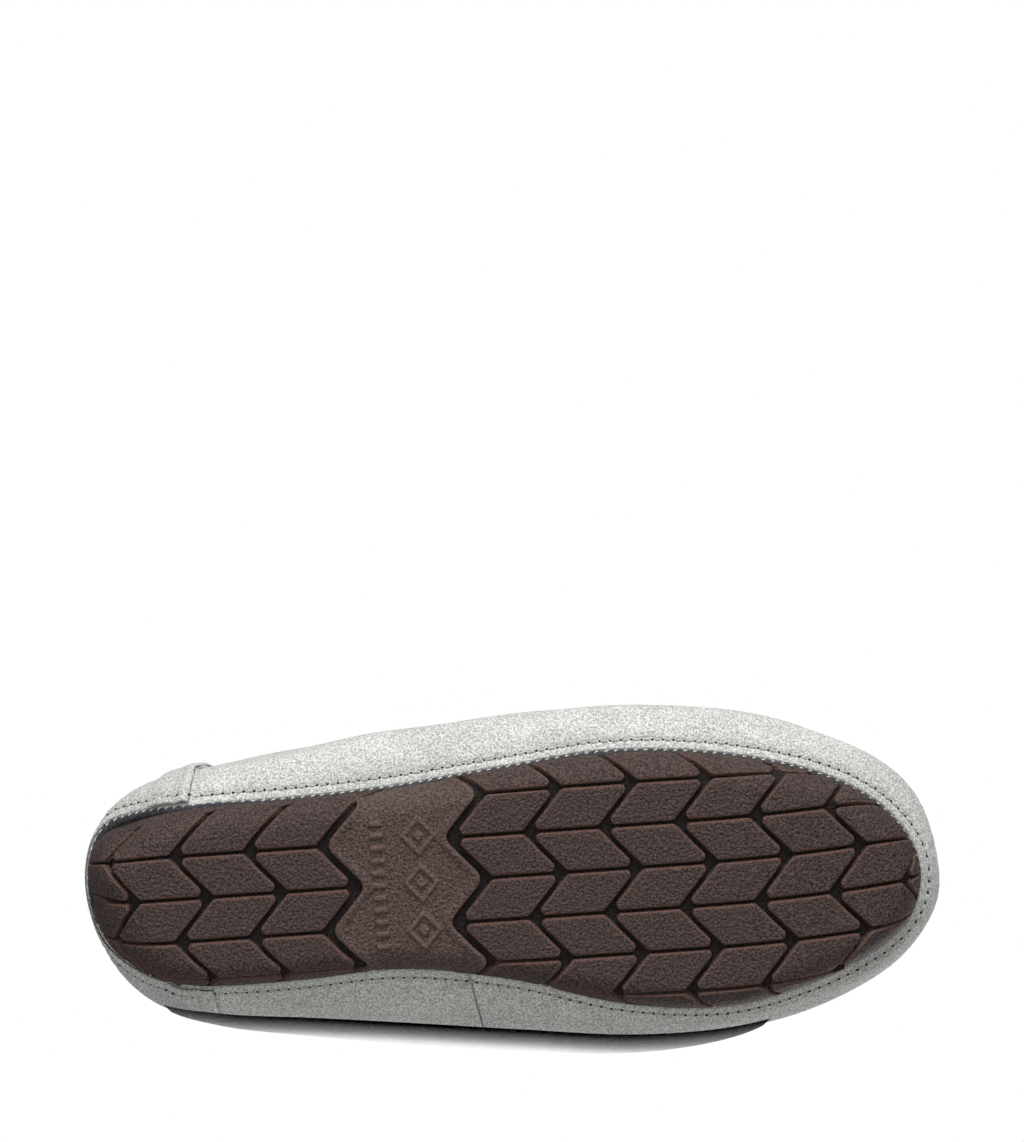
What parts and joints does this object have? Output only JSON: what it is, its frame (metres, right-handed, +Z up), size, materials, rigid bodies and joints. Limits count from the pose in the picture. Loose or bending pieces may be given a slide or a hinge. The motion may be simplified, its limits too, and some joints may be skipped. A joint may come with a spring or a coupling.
{
  "type": "fluffy house slipper",
  "caption": "Right-foot moccasin house slipper: suede upper bulging over a moulded rubber herringbone outsole, with a curly wool cuff, lining and insole.",
  "frame": {"origin": "centre of the sole's footprint, on the plane that the tread rests on", "axes": "+X from heel to toe, +Y towards the inner side of the right foot, +Z up out of the foot opening"},
  "size_m": [0.274, 0.1039, 0.078],
  "materials": {
    "rubber": "matte moulded rubber with a pebble grain",
    "foam": "closed-cell foam",
    "felt": "dark felt board",
    "wool": "curly fleece",
    "suede": "brushed suede nap",
    "board": "pressed fibre board",
    "thread": "waxed thread"
  },
  "bodies": {
    "root": {"outsole": "rubber", "midsole_foam": "foam", "strobel_board": "felt", "insole_cushion": "foam", "insole_wool": "wool", "vamp": "suede", "medial_quarter": "suede", "heel_patch": "suede", "apron": "suede", "heel_counter": "board", "vamp_lining": "wool", "quarter_lining": "wool", "apron_lining": "wool", "collar_cuff": "wool", "strobel_thread": "thread", "sole_stitch_thread": "thread", "apron_thread": "thread", "patch_thread_outer": "thread", "patch_thread_inner": "thread"}
  },
  "joints": []
}
